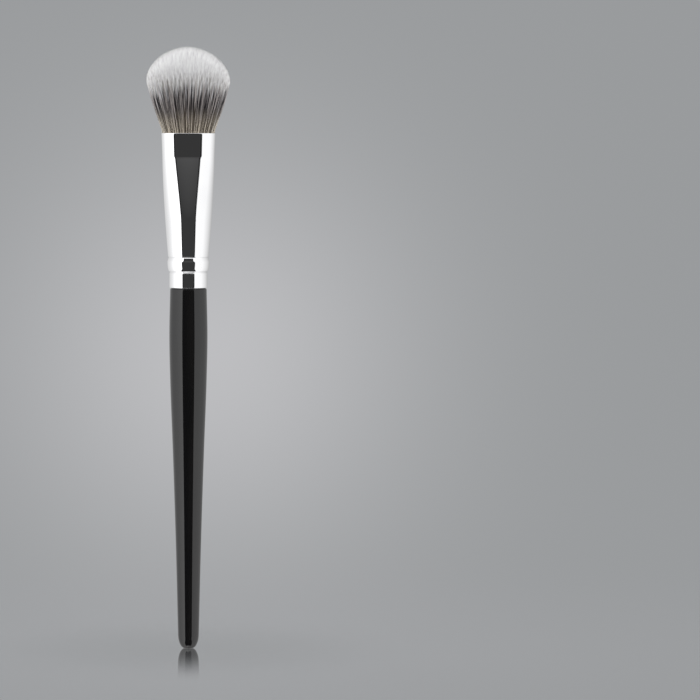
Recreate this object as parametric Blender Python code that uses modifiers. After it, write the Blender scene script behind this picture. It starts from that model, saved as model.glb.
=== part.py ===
# A slanted blush brush: a turned and lacquered handle, a ferrule pressed oval at its mouth, and a
# splayed tuft of bristles. The brush stands along +Z with the tip of its handle at the origin. The
# broad side of the oval lies along X, and the tuft's short side faces -Y.

import bmesh
import bpy
import numpy as np
from mathutils import Matrix

MM = 0.001

# Handle, in millimetres. Stations are (height, radius) and the curve runs smoothly through them.
HANDLE_LENGTH = 114.2
BUTT_FLAT_RADIUS = 1.2
BUTT_ROUND_HEIGHT = 4.6
BUTT_RADIUS = 3.32
LOWER_WAIST = (31.5, 3.97)
UPPER_WAIST = (63.1, 4.97)
BELLY_FLANK = (85.3, 5.78)
BELLY = (98.5, 6.05)
SHOULDER_RADIUS = 5.78
SHOULDER_EDGE = 0.25
TENON_LENGTH = 23.5
TENON_CHAMFER = 0.9
GROOVE_DEPTH = 0.5
GROOVE_WIDTH = 2.6
GROOVES_BELOW_TOP = (9.1, 17.9)

# Ferrule, in millimetres. Its heights count up from its own lower edge.
FERRULE_LENGTH = 48.7
WALL = 0.38
COLLAR_RADIUS = 6.0
COLLAR_LENGTH = 4.6
STEP_GROOVE = 0.13
STEP_GROOVE_WIDTH = 0.5
BEAD_RADIUS = 6.64
BEAD_ROUNDING = 3.1
BEAD_TOP = 9.35
BEAD_TOP_RADIUS = 6.33
SCORE_DEPTH = 0.12
SCORE_WIDTH = 0.6
CONE_RADIUS = 6.45
CONE_FULLNESS = 1.5
CREASE_HEIGHT = 41.2
CREASE_HALF_WIDTH = 8.22
CREASE_HALF_DEPTH = 5.25
PRESS_RUN_OUT = 20.0
PRESS_ONSET = 1.1
MOUTH_HALF_WIDTH = 8.5
MOUTH_HALF_DEPTH = 5.36
ROUND_SQUARENESS = 2.0
MOUTH_SQUARENESS = 2.35
LIP_ROLL = 0.04
LIP_HEIGHT = 0.5

# Tuft, in millimetres. Heights with MOUTH or RIM in their name count up from the ferrule's mouth.
ROOT_LENGTH = 10.5
ROOT_BELOW_MOUTH = 2.6
THREAD_WAIST = 0.9
THREAD_BAND = 4.4
THREAD_HEIGHT = 3.0
STRAND_RINGS = 8
ROOT_SHARE_OF_CELL = 0.6
FULL_SHARE_OF_CELL = 0.8
FULL_AT_SHARE = 0.62
SPLAY_RATIO_SIDE = 0.356
SPLAY_RATIO_SHORT = 0.345
SPLAY_RATIO_TALL = 0.365
RIM_SHORT = 15.0
RIM_SHORT_REACH = 9.8
RIM_SLOPE_RATIO = 0.391
RIM_SAG = 3.04
RIM_SAG_WIDTH = 13.2
DOME_HEIGHT = 7.55
DOME_FULLNESS = 1.586
DOME_SKEW = 0.145
TIP_CURL_SHARE = 0.026
TIP_CURL_POWER = 4
TIP_SCATTER = 0.45
SCATTER_SEED = 11

# What holds the brush together.
SEAT_GAP = 0.3
TENON_CLEARANCE = 0.15
ROOT_CLEARANCE = 0.15
GLUE_CLEARANCE = 0.1
AIR_BEHIND_RESIN = 3.7
GLUE_PAST_GROOVE = 1.8
THREAD_TURNS = 4
THREAD_RIB = 0.16

# Levels that mark the points of a strand while the tuft is drawn: where it leaves the resin, the
# ferrule's mouth, its fullest place and its tip. The rings of the bound root count down from -1.
RESIN_LEVEL = 0
MOUTH_LEVEL = 1
FULL_LEVEL = 2
TIP_LEVEL = 3

# How finely the curved faces are divided.
ROUND_STEPS = 40
RINGS_PER_BEND = 4
BUTT_RINGS = 7
BEAD_RINGS = 4
CONE_RINGS = 12
CONE_RING_SPREAD = 1.25
FILL_RINGS = 4
HEIGHT_ROUNDS = 12

cone_start = BEAD_TOP + SCORE_WIDTH
ferrule_bottom = HANDLE_LENGTH + SEAT_GAP
mouth_height = ferrule_bottom + FERRULE_LENGTH
tenon_top = HANDLE_LENGTH + TENON_LENGTH
tenon_radius = COLLAR_RADIUS - WALL - TENON_CLEARANCE
root_top = mouth_height - ROOT_BELOW_MOUTH
root_bottom = root_top - ROOT_LENGTH


def clear_scene():
    for obj in list(bpy.data.objects):
        bpy.data.objects.remove(obj, do_unlink=True)


def new_collection(name):
    collection = bpy.data.collections.new(name)
    bpy.context.scene.collection.children.link(collection)
    return collection


def principled(name, colour, roughness, metallic, coat=0.0):
    material = bpy.data.materials.new(name)
    material.use_nodes = True
    shader = material.node_tree.nodes["Principled BSDF"]
    shader.inputs["Base Color"].default_value = (*colour, 1.0)
    shader.inputs["Roughness"].default_value = roughness
    shader.inputs["Metallic"].default_value = metallic
    shader.inputs["Coat Weight"].default_value = coat
    material.diffuse_color = (*colour, 1.0)
    return material


def add_object(name, mesh, collection, material, parent):
    obj = bpy.data.objects.new(name, mesh)
    mesh.materials.append(material)
    collection.objects.link(obj)
    obj.parent = parent
    return obj


def shade_round(mesh, degrees=35):
    mesh.shade_smooth()
    mesh.set_sharp_from_angle(angle=np.radians(degrees))


def smooth_through(stations, per_span):
    """Points of a smooth curve through (height, radius) stations, with slopes taken from their neighbours."""
    points = np.array(stations, dtype=float)
    heights, radii = points[:, 0], points[:, 1]
    slopes = np.gradient(radii, heights)
    curve = []
    for i in range(len(points) - 1):
        span = heights[i + 1] - heights[i]
        for t in np.linspace(0, 1, per_span, endpoint=False):
            bend = t * t * (3 - 2 * t)
            radius = radii[i] + (radii[i + 1] - radii[i]) * bend
            radius += span * slopes[i] * t * (1 - t) ** 2
            radius -= span * slopes[i + 1] * t * t * (1 - t)
            curve.append((heights[i] + span * t, radius))
    curve.append(tuple(points[-1]))
    return curve


def turned(name, profile, collection, material, parent, closed=False):
    """A (height, radius) profile, listed from the top down its outer side, turned round Z."""
    mesh = bpy.data.meshes.new(name)
    points = [(radius * MM, 0.0, height * MM) for height, radius in profile]
    edges = [(i, i + 1) for i in range(len(points) - 1)]
    if closed:
        edges.append((len(points) - 1, 0))
    mesh.from_pydata(points, edges, [])
    obj = add_object(name, mesh, collection, material, parent)
    screw = obj.modifiers.new("Turn", "SCREW")
    screw.axis = "Z"
    screw.steps = ROUND_STEPS
    screw.render_steps = ROUND_STEPS
    screw.use_merge_vertices = True
    screw.merge_threshold = 0.00001
    screw.use_smooth_shade = True
    return obj


def oval_ring(half_width, half_depth, squareness, count=ROUND_STEPS):
    """Points round an oval, which is an ellipse at ROUND_SQUARENESS and fills its corners above that."""
    angle = np.linspace(0, 2 * np.pi, count, endpoint=False)
    across, along = np.cos(angle), np.sin(angle)
    reach = (np.abs(across) ** squareness + np.abs(along) ** squareness) ** (-1 / squareness)
    return np.stack([across * reach * half_width, along * reach * half_depth], axis=1)


def ferrule_section(above):
    """Half width, half depth and squareness of the formed tube, without its beads, above its lower edge."""
    if above < cone_start:
        return COLLAR_RADIUS, COLLAR_RADIUS, ROUND_SQUARENESS
    if above >= CREASE_HEIGHT:
        pressed = (above - CREASE_HEIGHT) / (FERRULE_LENGTH - CREASE_HEIGHT)
        half_width = CREASE_HALF_WIDTH + (MOUTH_HALF_WIDTH - CREASE_HALF_WIDTH) * pressed
        half_depth = CREASE_HALF_DEPTH + (MOUTH_HALF_DEPTH - CREASE_HALF_DEPTH) * pressed
        return half_width, half_depth, MOUTH_SQUARENESS
    short_of_crease = (CREASE_HEIGHT - above) / (CREASE_HEIGHT - cone_start)
    half_width = CREASE_HALF_WIDTH - (CREASE_HALF_WIDTH - CONE_RADIUS) * short_of_crease**CONE_FULLNESS
    pressed = max(0.0, 1 - (CREASE_HEIGHT - above) / PRESS_RUN_OUT) ** PRESS_ONSET
    half_depth = half_width + (CREASE_HALF_DEPTH - CREASE_HALF_WIDTH) * pressed
    squareness = ROUND_SQUARENESS + (MOUTH_SQUARENESS - ROUND_SQUARENESS) * pressed
    return half_width, half_depth, squareness


def inside_ferrule(height, clearance):
    half_width, half_depth, squareness = ferrule_section(height - ferrule_bottom)
    inset = WALL + clearance
    return half_width - inset, half_depth - inset, squareness


def squared(spot, squareness):
    """Points of the unit disc moved straight out from its centre, so that its rim becomes a squarer oval."""
    out = np.maximum(np.hypot(spot[:, 0], spot[:, 1]), 1e-9)[:, None]
    reach = (np.abs(spot / out) ** squareness).sum(axis=1, keepdims=True)
    return spot * np.where(reach > 0, reach, 1.0) ** (-1 / squareness)


def loft(name, sections, collection, material, parent, capped):
    """Rings of points at (height, half width, half depth, squareness), joined from the bottom up."""
    rings = [
        np.column_stack([oval_ring(*section[1:]), np.full(ROUND_STEPS, section[0])]) * MM
        for section in sections
    ]
    build = bmesh.new()
    loops = [[build.verts.new(point) for point in ring] for ring in rings]
    for lower, upper in zip(loops, loops[1:]):
        for i in range(ROUND_STEPS):
            j = (i + 1) % ROUND_STEPS
            build.faces.new((lower[i], lower[j], upper[j], upper[i]))
    if capped:
        build.faces.new(loops[0][::-1])
        build.faces.new(loops[-1])
    mesh = bpy.data.meshes.new(name)
    build.to_mesh(mesh)
    build.free()
    shade_round(mesh)
    return add_object(name, mesh, collection, material, parent)


def make_handle(collection, parent):
    """The turned handle, from its tenon down to the small flat at the butt."""
    profile = [(tenon_top, 0.0), (tenon_top, tenon_radius - TENON_CHAMFER)]
    profile.append((tenon_top - TENON_CHAMFER, tenon_radius))
    for below in GROOVES_BELOW_TOP:
        upper = tenon_top - below + GROOVE_WIDTH / 2
        lower = upper - GROOVE_WIDTH
        floor = tenon_radius - GROOVE_DEPTH
        profile += [(upper, tenon_radius), (upper - GROOVE_DEPTH, floor)]
        profile += [(lower + GROOVE_DEPTH, floor), (lower, tenon_radius)]
    profile.append((HANDLE_LENGTH, tenon_radius))
    profile.append((HANDLE_LENGTH, SHOULDER_RADIUS - SHOULDER_EDGE))
    stations = [
        (BUTT_ROUND_HEIGHT, BUTT_RADIUS),
        LOWER_WAIST,
        UPPER_WAIST,
        BELLY_FLANK,
        BELLY,
        (HANDLE_LENGTH - SHOULDER_EDGE, SHOULDER_RADIUS),
    ]
    profile += smooth_through(stations, RINGS_PER_BEND)[::-1]
    for angle in np.linspace(0, np.pi / 2, BUTT_RINGS + 1)[1:]:
        height = BUTT_ROUND_HEIGHT * (1 - np.sin(angle))
        radius = BUTT_FLAT_RADIUS + (BUTT_RADIUS - BUTT_FLAT_RADIUS) * np.cos(angle)
        profile.append((height, radius))
    profile.append((0.0, 0.0))
    lacquer = principled("black_lacquer", (0.008, 0.008, 0.009), 0.12, 0.0, coat=1.0)
    return turned("handle", profile, collection, lacquer, parent)


def ferrule_stations():
    """Rings of the ferrule's outer face from its lower edge to its rolled lip."""
    rings = []

    def add(above, reach):
        rings.append((ferrule_bottom + above, reach, reach, ROUND_SQUARENESS))

    add(0.0, COLLAR_RADIUS)
    add(COLLAR_LENGTH, COLLAR_RADIUS)
    add(COLLAR_LENGTH + STEP_GROOVE_WIDTH / 2, COLLAR_RADIUS - STEP_GROOVE)
    add(COLLAR_LENGTH + STEP_GROOVE_WIDTH, COLLAR_RADIUS)
    bead_start = COLLAR_LENGTH + STEP_GROOVE_WIDTH
    for angle in np.linspace(0, np.pi / 2, BEAD_RINGS + 1)[1:]:
        above = bead_start + BEAD_ROUNDING * (1 - np.cos(angle))
        add(above, COLLAR_RADIUS + (BEAD_RADIUS - COLLAR_RADIUS) * np.sin(angle))
    add(BEAD_TOP, BEAD_TOP_RADIUS)
    add(BEAD_TOP + SCORE_WIDTH / 2, BEAD_TOP_RADIUS - SCORE_DEPTH)
    cone_steps = np.linspace(0, 1, CONE_RINGS) ** CONE_RING_SPREAD
    cone_heights = cone_start + (CREASE_HEIGHT - cone_start) * cone_steps
    for above in (*cone_heights, FERRULE_LENGTH - LIP_HEIGHT):
        rings.append((ferrule_bottom + above, *ferrule_section(above)))
    half_width, half_depth, squareness = ferrule_section(FERRULE_LENGTH)
    rings.append((mouth_height, half_width + LIP_ROLL, half_depth + LIP_ROLL, squareness))
    return rings


def make_ferrule(collection, parent):
    """The plated tube: an open skin given its wall on the inside, with its edges broken."""
    chrome = principled("chrome", (0.82, 0.82, 0.84), 0.06, 1.0)
    obj = loft("ferrule", ferrule_stations(), collection, chrome, parent, capped=False)
    shell = obj.modifiers.new("Wall", "SOLIDIFY")
    shell.thickness = WALL * MM
    shell.offset = -1.0
    shell.use_even_offset = True
    return obj


def splay(spot, height):
    """Where the strand through a spot of the unit disc stands, at heights above the mouth."""
    half_width, half_depth, _ = inside_ferrule(mouth_height, ROOT_CLEARANCE)
    above = np.maximum(height, 0.0)
    side = half_width + SPLAY_RATIO_SIDE * above
    middle = (SPLAY_RATIO_TALL - SPLAY_RATIO_SHORT) / 2 * above
    depth = half_depth + (SPLAY_RATIO_TALL + SPLAY_RATIO_SHORT) / 2 * above
    return spot[:, 0] * side, middle + spot[:, 1] * depth


def tip_height(spot):
    """Height above the mouth where a strand ends: a sloping rim, sagging at both sides, under a dome."""
    out = np.minimum(np.hypot(spot[:, 0], spot[:, 1]), 1.0)
    fullness = DOME_FULLNESS - DOME_SKEW * spot[:, 1]
    dome = DOME_HEIGHT * (1 - out**fullness) ** (1 / fullness)
    height = np.full(len(spot), RIM_SHORT + DOME_HEIGHT)
    for _ in range(HEIGHT_ROUNDS):
        across, along = splay(spot, height)
        rim = RIM_SHORT + RIM_SLOPE_RATIO * (along + RIM_SHORT_REACH)
        height = rim - RIM_SAG * (across / RIM_SAG_WIDTH) ** 2 + dome
    return height


def grow(build, faces, share, level):
    """Raises each face by itself to a level, its corners at a share of their reach from its centre."""
    grown = bmesh.ops.extrude_discrete_faces(build, faces=faces)["faces"]
    for face in grown:
        centre = face.calc_center_median()
        for vert in face.verts:
            vert.co = centre + (vert.co - centre) * share
            vert.co.z = level
    return grown


def draw_tuft(build):
    """The tuft as a unit disc, whose heights are levels: the bound root below 0, the strands above."""
    corner_on_x = Matrix.Rotation(-np.pi / 2, 4, "Z")
    bmesh.ops.create_circle(build, cap_ends=True, cap_tris=True, segments=6, radius=1.0, matrix=corner_on_x)
    bmesh.ops.subdivide_edges(build, edges=build.edges[:], cuts=STRAND_RINGS - 1, use_grid_fill=True)
    bmesh.ops.triangulate(build, faces=build.faces[:])
    corner = np.pi / 3
    for vert in build.verts:
        angle = np.arctan2(vert.co.y, vert.co.x) % corner
        hexagon = np.cos(corner / 2) / np.cos(angle - corner / 2)
        ring = vert.co.length / hexagon
        if ring == 0:
            continue
        sector = np.arctan2(vert.co.y, vert.co.x) - angle
        along = np.sin(angle) / (np.sin(angle) + np.sin(corner - angle))
        turn = sector + along * corner
        vert.co = (ring * np.cos(turn), ring * np.sin(turn), 0.0)
    bmesh.ops.recalc_face_normals(build, faces=build.faces[:])
    if build.faces[:][0].normal.z < 0:
        bmesh.ops.reverse_faces(build, faces=build.faces[:])
    cells = build.faces[:]
    rim = [edge for edge in build.edges if edge.is_boundary]
    for level in range(-1, -1 - len(root_levels()), -1):
        side = bmesh.ops.extrude_edge_only(build, edges=rim)["geom"]
        rim = [item for item in side if isinstance(item, bmesh.types.BMEdge)]
        for vert in {vert for edge in rim for vert in edge.verts}:
            vert.co.z = level
        rim = [edge for edge in rim if edge.is_boundary]
    bmesh.ops.edgeloop_fill(build, edges=rim)
    strands = grow(build, cells, ROOT_SHARE_OF_CELL, RESIN_LEVEL)
    strands = grow(build, strands, 1.0, MOUTH_LEVEL)
    strands = grow(build, strands, FULL_SHARE_OF_CELL / ROOT_SHARE_OF_CELL, FULL_LEVEL)
    for vert in bmesh.ops.poke(build, faces=strands)["verts"]:
        vert.co.z = TIP_LEVEL
    bmesh.ops.recalc_face_normals(build, faces=build.faces[:])


def bend_tuft(points):
    """Real positions, in millimetres, of the points of draw_tuft."""
    level = points[:, 2]
    spot = points[:, :2].copy()
    tips = level > FULL_LEVEL
    scatter = np.random.default_rng(SCATTER_SEED).uniform(-1, 1, (tips.sum(), 3)) * TIP_SCATTER
    tip_at = tip_height(spot)
    tip_at[tips] += scatter[:, 2]
    curl = 1 - TIP_CURL_SHARE * np.hypot(spot[:, 0], spot[:, 1]) ** TIP_CURL_POWER
    spot[tips] *= curl[tips, None]
    in_root = np.interp(level, (RESIN_LEVEL, MOUTH_LEVEL), (-ROOT_BELOW_MOUTH, 0.0))
    share = np.interp(level, (MOUTH_LEVEL, FULL_LEVEL, TIP_LEVEL), (0.0, FULL_AT_SHARE, 1.0))
    up = np.where(level > MOUTH_LEVEL, share * tip_at, in_root)
    across, along = splay(squared(spot, MOUTH_SQUARENESS), up)
    across[tips] += scatter[:, 0]
    along[tips] += scatter[:, 1]
    return np.column_stack([across, along, up + mouth_height])


def root_levels():
    """Height and inset of each ring of the bound root, from below its top edge to its foot."""
    band_top = root_bottom + THREAD_HEIGHT + THREAD_BAND
    band_foot = root_bottom + THREAD_HEIGHT
    return [
        (band_top, 0.0),
        (band_top - THREAD_WAIST, THREAD_WAIST),
        (band_foot + THREAD_WAIST, THREAD_WAIST),
        (band_foot, 0.0),
        (root_bottom, 0.0),
    ]


def make_bristles(collection, parent):
    """Tapered strands fused to the resin-bound slice that roots them in the ferrule."""
    build = bmesh.new()
    draw_tuft(build)
    points = np.array([vert.co for vert in build.verts])
    placed = bend_tuft(points)
    for number, (height, inset) in enumerate(root_levels(), 1):
        ring = np.isclose(points[:, 2], -number)
        half_width, half_depth, squareness = inside_ferrule(height, ROOT_CLEARANCE + inset)
        spot = squared(points[ring, :2], squareness)
        placed[ring, :2] = spot * (half_width, half_depth)
        placed[ring, 2] = height
    for vert, point in zip(build.verts, placed):
        vert.co = point * MM
    mesh = bpy.data.meshes.new("bristles")
    build.to_mesh(mesh)
    build.free()
    hair = principled("bristle_hair", (0.42, 0.38, 0.35), 0.55, 0.0)
    return add_object("bristles", mesh, collection, hair, parent)


def make_root_thread(collection, parent):
    """Four close turns of thread lying in the waist of the root, fused into one ribbed band."""
    top = root_bottom + THREAD_HEIGHT + THREAD_BAND - THREAD_WAIST - GLUE_CLEARANCE
    foot = root_bottom + THREAD_HEIGHT + THREAD_WAIST + GLUE_CLEARANCE
    pitch = (top - foot) / THREAD_TURNS
    sections = []
    for turn in range(THREAD_TURNS):
        for share, bulge in ((0.0, 0.0), (0.5, 1.0)):
            sections.append((foot + pitch * (turn + share), bulge))
    sections.append((top, 0.0))
    outer = [
        (height, *inside_ferrule(height, ROOT_CLEARANCE + GLUE_CLEARANCE + THREAD_RIB * (1 - bulge)))
        for height, bulge in sections
    ]
    thread = principled("binding_thread", (0.72, 0.68, 0.6), 0.85, 0.0)
    obj = loft("root_thread", outer, collection, thread, parent, capped=False)
    shell = obj.modifiers.new("Wall", "SOLIDIFY")
    shell.thickness = (THREAD_WAIST - THREAD_RIB - 2 * GLUE_CLEARANCE) * MM
    shell.offset = -1.0
    return obj


def make_root_resin(collection, parent):
    """The resin cast behind the root: it takes the shape of the tube, from nearly round to oval."""
    top = root_bottom - GLUE_CLEARANCE
    sections = [
        (height, *inside_ferrule(height, ROOT_CLEARANCE))
        for height in np.linspace(tenon_top + AIR_BEHIND_RESIN, top, FILL_RINGS)
    ]
    resin = principled("amber_resin", (0.55, 0.36, 0.14), 0.25, 0.0)
    return loft("root_resin", sections, collection, resin, parent, capped=True)


def make_handle_glue(collection, parent):
    """Glue pushed up round the tenon, filling the cone and keyed into the tenon's upper groove."""
    key_middle = tenon_top - min(GROOVES_BELOW_TOP)
    key_half = GROOVE_WIDTH / 2 - GROOVE_DEPTH - GLUE_CLEARANCE
    sleeve_half = GROOVE_WIDTH / 2 + GLUE_PAST_GROOVE
    inner = tenon_radius + GLUE_CLEARANCE
    floor = tenon_radius - GROOVE_DEPTH + GLUE_CLEARANCE
    heights = np.linspace(key_middle + sleeve_half, key_middle - sleeve_half, FILL_RINGS)
    profile = [(height, inside_ferrule(height, GLUE_CLEARANCE)[0]) for height in heights]
    profile.append((key_middle - sleeve_half, inner))
    profile.append((key_middle - key_half - GROOVE_DEPTH + GLUE_CLEARANCE, inner))
    profile.append((key_middle - key_half, floor))
    profile.append((key_middle + key_half, floor))
    profile.append((key_middle + key_half + GROOVE_DEPTH - GLUE_CLEARANCE, inner))
    profile.append((key_middle + sleeve_half, inner))
    glue = principled("clear_glue", (0.6, 0.52, 0.36), 0.3, 0.0)
    return turned("handle_glue", profile, collection, glue, parent, closed=True)


def main():
    clear_scene()
    bpy.context.scene.unit_settings.scale_length = 1.0
    parts = new_collection("blush_brush")
    anchor = bpy.data.objects.new("brush_axis", None)
    parts.objects.link(anchor)
    make_handle(parts, anchor)
    make_ferrule(parts, anchor)
    make_bristles(parts, anchor)
    make_root_thread(parts, anchor)
    make_root_resin(parts, anchor)
    make_handle_glue(parts, anchor)
    bpy.context.view_layer.update()


main()
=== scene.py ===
import math

import bpy
import numpy as np
from mathutils import Matrix, Vector


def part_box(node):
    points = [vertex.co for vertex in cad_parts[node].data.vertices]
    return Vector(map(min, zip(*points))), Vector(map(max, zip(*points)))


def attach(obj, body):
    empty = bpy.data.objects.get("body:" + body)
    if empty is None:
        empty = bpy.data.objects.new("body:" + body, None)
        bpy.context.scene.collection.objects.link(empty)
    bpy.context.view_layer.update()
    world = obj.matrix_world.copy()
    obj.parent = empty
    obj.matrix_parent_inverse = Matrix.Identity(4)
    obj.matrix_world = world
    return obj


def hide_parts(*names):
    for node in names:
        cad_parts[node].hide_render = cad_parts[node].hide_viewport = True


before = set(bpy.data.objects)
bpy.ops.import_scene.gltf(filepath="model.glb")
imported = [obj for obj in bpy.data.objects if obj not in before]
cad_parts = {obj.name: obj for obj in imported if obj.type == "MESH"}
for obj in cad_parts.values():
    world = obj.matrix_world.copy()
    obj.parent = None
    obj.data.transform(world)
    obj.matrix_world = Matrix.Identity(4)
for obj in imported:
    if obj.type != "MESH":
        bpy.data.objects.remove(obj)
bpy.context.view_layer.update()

# A slanted blush brush, standing on the tip of its handle. Lengths are in metres, and mm turns the
# millimetres of the dictionaries into them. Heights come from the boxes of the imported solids.

mm = 0.001
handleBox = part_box("handle")
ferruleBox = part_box("ferrule")
mouthHeight = ferruleBox[1][2]
sharpAngle = math.radians(30)     # edges that turn further than this stay sharp
tiny = 1e-9                       # keeps divisions away from nothing
print("frame:", len(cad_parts), "nodes, mouth of the ferrule at", round(mouthHeight / mm, 2), "mm")


# Mesh helpers

def surfaceFromGrid(name, points, closeRows=False, closeColumns=False, capFirst=False, capLast=False):
    # One quad for each cell of a grid of points, whose rows or columns may join end to end. A cap is a
    # fan of triangles from an end row to a point at its middle.
    rows, columns = points.shape[:2]
    number = np.arange(rows * columns).reshape(rows, columns)
    if closeRows:
        number = np.vstack([number, number[:1]])
    if closeColumns:
        number = np.hstack([number, number[:, :1]])
    quads = np.stack([number[:-1, :-1], number[:-1, 1:], number[1:, 1:], number[1:, :-1]], axis=-1)
    groups = [quads.reshape(-1, 4)]
    points = points.reshape(-1, 3)
    for row, wanted in ((number[0, ::-1], capFirst), (number[-1], capLast)):
        if wanted:
            groups.append(np.stack([row[:-1], row[1:], np.full(columns, len(points))], axis=1))
            points = np.vstack([points, points[row[:-1]].mean(axis=0)])
    return meshFromFaces(name, points, *groups)


def meshFromFaces(name, points, *groups):
    # Every group is an array with the corners of one face in each row.
    mesh = bpy.data.meshes.new(name)
    corners = np.concatenate([group.ravel() for group in groups])
    sides = np.concatenate([np.full(len(group), group.shape[1]) for group in groups])
    mesh.vertices.add(len(points))
    mesh.vertices.foreach_set("co", np.ascontiguousarray(points, dtype=np.float32).ravel())
    mesh.loops.add(len(corners))
    mesh.loops.foreach_set("vertex_index", corners.astype(np.int32))
    mesh.polygons.add(len(sides))
    mesh.polygons.foreach_set("loop_start", (np.cumsum(sides) - sides).astype(np.int32))
    mesh.update(calc_edges=True)
    mesh.validate()
    mesh.shade_smooth()
    return mesh


def addPiece(name, mesh, material, slotName, *nodes):
    piece = bpy.data.objects.new(name, mesh)
    bpy.context.scene.collection.objects.link(piece)
    mesh.materials.append(material)
    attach(piece, "root")
    if nodes:
        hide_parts(*nodes)
    return piece


def smoothThrough(stations, heights):
    # A cubic through (height, radius) stations, whose slope at each is taken from its neighbours.
    known = np.array(stations, dtype=float)
    slope = np.gradient(known[:, 1], known[:, 0])
    span = np.clip(np.searchsorted(known[:, 0], heights, side="right") - 1, 0, len(known) - 2)
    width = known[span + 1, 0] - known[span, 0]
    t = (heights - known[span, 0]) / width
    bend = t * t * (3 - 2 * t)
    radius = known[span, 1] + (known[span + 1, 1] - known[span, 1]) * bend
    return radius + width * (slope[span] * t * (1 - t) ** 2 - slope[span + 1] * t * t * (1 - t))


def turnProfile(profile, around):
    # Each (radius, height) of the profile carried once round Z.
    angle = np.linspace(0, 2 * np.pi, around, endpoint=False)
    radius, height = profile[:, :1], profile[:, 1:]
    return np.stack([radius * np.cos(angle), radius * np.sin(angle), height + 0 * angle], axis=-1)


# Shader helpers

def feed(node, name, value):
    # A socket takes another node's output, or a number or colour of its own.
    socket = node.inputs[name]
    if isinstance(value, bpy.types.NodeSocket):
        node.id_data.links.new(value, socket)
    else:
        socket.default_value = (*value, 1.0) if socket.type == "RGBA" else value


def emptyMaterial(name):
    # A material with nothing but its output.
    material = bpy.data.materials.new(name)
    material.use_nodes = True
    nodes = material.node_tree.nodes
    nodes.clear()
    return material, nodes, nodes.new("ShaderNodeOutputMaterial")


def newMaterial(name):
    material, nodes, output = emptyMaterial(name)
    shader = nodes.new("ShaderNodeBsdfPrincipled")
    feed(output, "Surface", shader.outputs["BSDF"])
    return material, nodes, shader


def mathNode(nodes, operation, *values, clamp=False):
    node = nodes.new("ShaderNodeMath")
    node.operation = operation
    node.use_clamp = clamp
    for place, value in enumerate(values):
        feed(node, place, value)
    return node.outputs[0]


def spread(nodes, value, low, high, lowOut, highOut, smooth=False):
    # The range from low to high carried over to the one from lowOut to highOut.
    node = nodes.new("ShaderNodeMapRange")
    node.interpolation_type = "SMOOTHSTEP" if smooth else "LINEAR"
    for place, number in enumerate((value, low, high, lowOut, highOut)):
        feed(node, place, number)
    return node.outputs["Result"]


def blendColours(nodes, share, first, second):
    node = nodes.new("ShaderNodeMix")
    node.data_type = "RGBA"
    for place, value in ((0, share), (6, first), (7, second)):  # the node's sockets for colours
        feed(node, place, value)
    return node.outputs[2]


def plainShader(nodes, kind, colour):
    # A shader that is the same all over.
    shader = nodes.new("ShaderNode" + kind)
    feed(shader, "Color", colour)
    return shader.outputs[0]


def mixShaders(nodes, share, first, second):
    node = nodes.new("ShaderNodeMixShader")
    for place, value in enumerate((share, first, second)):
        feed(node, place, value)
    return node.outputs[0]


def objectPlace(nodes):
    return nodes.new("ShaderNodeTexCoord").outputs["Object"]


def noiseFrom(nodes, vector, scale, detail, distortion=0.0):
    noise = nodes.new("ShaderNodeTexNoise")
    feed(noise, "Vector", vector)
    feed(noise, "Scale", scale)
    feed(noise, "Detail", detail)
    feed(noise, "Distortion", distortion)
    return noise.outputs["Fac"]


def distanceFrom(nodes, vector):
    # How far a place lies from the vector's own zero.
    far = nodes.new("ShaderNodeVectorMath")
    far.operation = "LENGTH"
    feed(far, 0, vector)
    return far.outputs["Value"]


def lookUp(nodes, value, table):
    # Straight lines between the places and values of a table, as a ramp from its lowest place to its
    # highest.
    pairs = sorted(table.items())
    low, high, most = pairs[0][0], pairs[-1][0], max(table.values())
    ramp = nodes.new("ShaderNodeValToRGB")
    stops = ramp.color_ramp.elements
    while len(stops) < len(pairs):
        stops.new(0.5)
    for stop, (place, number) in zip(stops, pairs):
        stop.position = (place - low) / (high - low)
        stop.color = (*(3 * [number / most]), 1.0)
    feed(ramp, "Fac", spread(nodes, value, low, high, 0.0, 1.0))
    return mathNode(nodes, "MULTIPLY", ramp.outputs["Color"], most)


def newGroup(name, inputs, outputs):
    # A group that takes and gives numbers.
    group = bpy.data.node_groups.new(name, "ShaderNodeTree")
    for direction, socketNames in (("INPUT", inputs), ("OUTPUT", outputs)):
        for socketName in socketNames:
            group.interface.new_socket(socketName, in_out=direction, socket_type="NodeSocketFloat")
    return group, group.nodes.new("NodeGroupInput"), group.nodes.new("NodeGroupOutput")


def placeGroup(nodes, group, values):
    node = nodes.new("ShaderNodeGroup")
    node.node_tree = group
    for name, value in values.items():
        feed(node, name, value)
    return node


def bumpFrom(nodes, height, strength, distance):
    bump = nodes.new("ShaderNodeBump")
    feed(bump, "Height", height)
    feed(bump, "Strength", strength)
    feed(bump, "Distance", distance)
    return bump.outputs["Normal"]


# Marks of handling, on lacquer and chrome alike

marksLook = {
    "inputs": ("Roughness", "Haze", "Scuffs", "Ring Stretch", "Grain Scale"),
    "scuffDetail": 4.0,
    "scuffBetween": (0.5, 0.72),  # values of the noise between which a mark sets in, like the next pair
    "haze": (85.0, 3.0),          # scale and detail of its noise, and so for the other noises
    "hazeBetween": (0.42, 0.68),
}


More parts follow.
